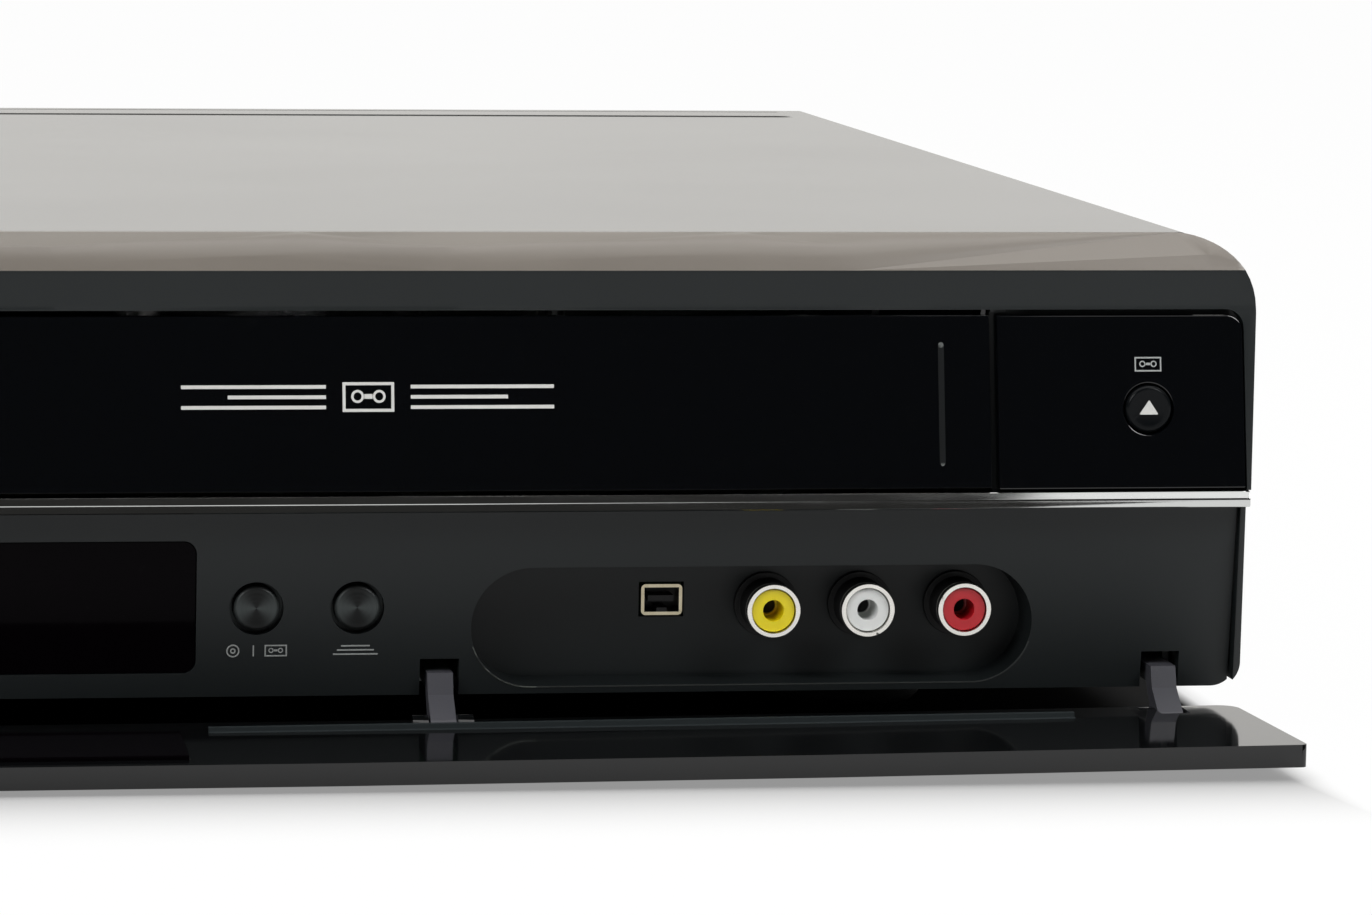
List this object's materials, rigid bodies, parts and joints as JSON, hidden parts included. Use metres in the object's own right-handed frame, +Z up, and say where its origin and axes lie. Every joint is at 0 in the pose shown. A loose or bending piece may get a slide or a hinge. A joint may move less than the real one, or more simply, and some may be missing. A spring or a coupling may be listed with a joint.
{
  "type": "dvd vcr combo player",
  "caption": "Wide low disc and tape player with a disc tray, a tape flap, a fold-down lower door, front keys and jacks, and its disc loader and tape deck inside.",
  "frame": {"origin": "centre of the plan at the level of the feet's soles", "axes": "+Z up, +X to the right seen from the front, -Y towards the viewer"},
  "size_m": [0.43, 0.3816, 0.078],
  "materials": {
    "painted_steel": "fine textured dark paint",
    "zinc_steel": "zinc-plated sheet, satin",
    "foot_rubber": "matt moulded",
    "black_screw": "black oxide",
    "matt_black": "fine matt",
    "gloss_black": "piano gloss",
    "chrome": "mirror bright",
    "dark_grey": "satin metallic dark grey",
    "smoked_glass": "clear smoked gloss",
    "display_glass": "vacuum display behind the window",
    "hinge_grey": "satin moulded grey",
    "spring_steel": "ground bright",
    "turned_metal": "spin-turned cap",
    "nickel": "bright nickel plate",
    "yellow_plastic": "moulded",
    "white_plastic": "moulded",
    "red_plastic": "moulded",
    "circuit_board": "solder resist on glass fibre",
    "inlet_black": "moulded",
    "loader_black": "moulded, fine texture",
    "white_nylon": "slippery moulded",
    "pickup_grey": "die cast",
    "cast_drum": "fine turned",
    "roller_rubber": "ground smooth"
  },
  "bodies": {
    "unit": {"top_cover": "painted_steel", "base_chassis": "zinc_steel", "rear_panel": "zinc_steel", "feet": "foot_rubber", "cover_screws": "black_screw", "front_bezel": "matt_black", "vcr_fascia": "gloss_black", "tray_fascia": "gloss_black", "chrome_strip": "chrome", "control_panel": "dark_grey", "display_window": "smoked_glass", "display_module": "display_glass", "hinge_lugs": "hinge_grey", "flap_spring": "spring_steel", "jack_shells": "nickel", "yellow_jack_insert": "yellow_plastic", "white_jack_insert": "white_plastic", "red_jack_insert": "red_plastic", "dv_socket": "nickel", "front_board": "circuit_board", "main_board": "circuit_board", "power_board": "circuit_board", "ac_inlet": "inlet_black", "rear_jack_block": "inlet_black", "antenna_block": "zinc_steel", "fan_frame": "inlet_black", "loader_frame": "loader_black", "clamp_bridge": "zinc_steel", "deck_chassis": "zinc_steel", "drum_base": "cast_drum", "basket_brackets": "loader_black"},
    "drop_door": {"drop_door": "gloss_black", "door_lens": "smoked_glass"},
    "flap": {"vcr_flap": "gloss_black"},
    "source_key": {"source_button": "turned_metal"},
    "scan_key": {"scan_button": "turned_metal"},
    "play_key": {"play_button": "turned_metal"},
    "stop_key": {"stop_button": "turned_metal"},
    "record_key": {"record_button": "turned_metal"},
    "eject_key": {"eject_button": "gloss_black"},
    "power_key": {"power_button": "gloss_black"},
    "open_close_key": {"open_close_button": "gloss_black"},
    "tray": {"disc_tray": "loader_black", "tray_front": "gloss_black"},
    "tray_drive": {"tray_gear": "white_nylon"},
    "traverse": {"traverse_frame": "loader_black", "guide_rails": "spring_steel"},
    "spindle": {"turntable": "loader_black"},
    "sled": {"pickup_sled": "pickup_grey"},
    "screw": {"lead_screw": "spring_steel"},
    "clamp": {"clamp_puck": "loader_black"},
    "drum": {"head_drum": "cast_drum"},
    "capstan_rotor": {"capstan": "spring_steel"},
    "pinch_lever": {"pinch_arm": "zinc_steel"},
    "roller": {"pinch_roller": "roller_rubber"},
    "supply": {"supply_reel": "white_nylon"},
    "takeup": {"takeup_reel": "white_nylon"},
    "slider": {"slide_plates": "white_nylon"},
    "basket": {"cassette_basket": "zinc_steel"},
    "fan": {"fan_impeller": "inlet_black"}
  },
  "joints": [
    {"name": "door_hinge", "type": "hinge", "parent": "unit", "child": "drop_door", "pos_m": [0, -0.15785, 0.0034], "axis": [-1, 0, 0], "range_deg": [0, 90]},
    {"name": "flap_hinge", "type": "hinge", "parent": "unit", "child": "flap", "pos_m": [0.0775, -0.14875, 0.07], "axis": [1, 0, 0], "range_deg": [0, 100], "stiffness_Nm_per_rad": 0.006, "springref_deg": -85.94},
    {"name": "source_press", "type": "slide", "parent": "unit", "child": "source_key", "axis": [0, 1, 0], "range_m": [0, 0.0008], "stiffness_N_per_m": 300, "springref_m": -0.0004},
    {"name": "scan_press", "type": "slide", "parent": "unit", "child": "scan_key", "axis": [0, 1, 0], "range_m": [0, 0.0008], "stiffness_N_per_m": 300, "springref_m": -0.0004},
    {"name": "play_press", "type": "slide", "parent": "unit", "child": "play_key", "axis": [0, 1, 0], "range_m": [0, 0.0008], "stiffness_N_per_m": 300, "springref_m": -0.0004},
    {"name": "stop_press", "type": "slide", "parent": "unit", "child": "stop_key", "axis": [0, 1, 0], "range_m": [0, 0.0008], "stiffness_N_per_m": 300, "springref_m": -0.0004},
    {"name": "record_press", "type": "slide", "parent": "unit", "child": "record_key", "axis": [0, 1, 0], "range_m": [0, 0.0008], "stiffness_N_per_m": 300, "springref_m": -0.0004},
    {"name": "eject_press", "type": "slide", "parent": "unit", "child": "eject_key", "axis": [0, 1, 0], "range_m": [0, 0.0008], "stiffness_N_per_m": 300, "springref_m": -0.0004},
    {"name": "power_press", "type": "slide", "parent": "unit", "child": "power_key", "axis": [0, 1, 0], "range_m": [0, 0.0008], "stiffness_N_per_m": 300, "springref_m": -0.0004},
    {"name": "open_close_press", "type": "slide", "parent": "unit", "child": "open_close_key", "axis": [0, 1, 0], "range_m": [0, 0.0008], "stiffness_N_per_m": 300, "springref_m": -0.0004},
    {"name": "tray_slide", "type": "slide", "parent": "unit", "child": "tray", "axis": [0, -1, 0], "range_m": [0, 0.135]},
    {"name": "tray_gear_turn", "type": "hinge", "parent": "unit", "child": "tray_drive", "pos_m": [-0.0675, -0.12225, 0.047], "axis": [0, 0, -1], "range_deg": [-5, 900]},
    {"name": "traverse_lift", "type": "hinge", "parent": "unit", "child": "traverse", "pos_m": [-0.11, 0.00975, 0.037], "axis": [-1, 0, 0], "range_deg": [0, 3.5]},
    {"name": "spindle_turn", "type": "hinge", "parent": "traverse", "child": "spindle", "pos_m": [-0.11, -0.08025, 0.045], "axis": [0, 0, 1], "continuous": true},
    {"name": "sled_slide", "type": "slide", "parent": "traverse", "child": "sled", "axis": [0, 1, 0], "range_m": [0, 0.034]},
    {"name": "screw_turn", "type": "hinge", "parent": "traverse", "child": "screw", "pos_m": [-0.081, -0.03825, 0.0405], "axis": [0, 1, 0], "range_deg": [-10, 4100]},
    {"name": "clamp_turn", "type": "hinge", "parent": "unit", "child": "clamp", "pos_m": [-0.11, -0.08025, 0.061], "axis": [0, 0, 1], "continuous": true},
    {"name": "drum_turn", "type": "hinge", "parent": "unit", "child": "drum", "pos_m": [0.0775, 0.04575, 0.0275], "axis": [0.0872, 0, 0.9962], "continuous": true},
    {"name": "capstan_turn", "type": "hinge", "parent": "unit", "child": "capstan_rotor", "pos_m": [0.1295, 0.01975, 0.03], "axis": [0, 0, 1], "continuous": true},
    {"name": "pinch_swing", "type": "hinge", "parent": "unit", "child": "pinch_lever", "pos_m": [0.1525, 0.03875, 0.028], "axis": [0, 0, 1], "range_deg": [0, 28]},
    {"name": "roller_turn", "type": "hinge", "parent": "pinch_lever", "child": "roller", "pos_m": [0.12754, 0.04024, 0.04], "axis": [0, 0, 1], "continuous": true},
    {"name": "supply_turn", "type": "hinge", "parent": "unit", "child": "supply", "pos_m": [0.0325, -0.04025, 0.03], "axis": [0, 0, 1], "continuous": true},
    {"name": "takeup_turn", "type": "hinge", "parent": "unit", "child": "takeup", "pos_m": [0.1225, -0.04025, 0.03], "axis": [0, 0, 1], "continuous": true},
    {"name": "slider_travel", "type": "slide", "parent": "unit", "child": "slider", "axis": [0, 1, 0], "range_m": [-0.045, 0]},
    {"name": "basket_drop", "type": "slide", "parent": "slider", "child": "basket", "axis": [0, 0, -1], "range_m": [0, 0.0115]},
    {"name": "fan_turn", "type": "hinge", "parent": "unit", "child": "fan", "pos_m": [-0.118, 0.17375, 0.038], "axis": [0, 1, 0], "continuous": true}
  ],
  "couplings": [
    {"joint": "tray_gear_turn", "follows": "tray_slide", "rad_per_m": 111.11},
    {"joint": "screw_turn", "follows": "sled_slide", "rad_per_m": 2094.4}
  ]
}
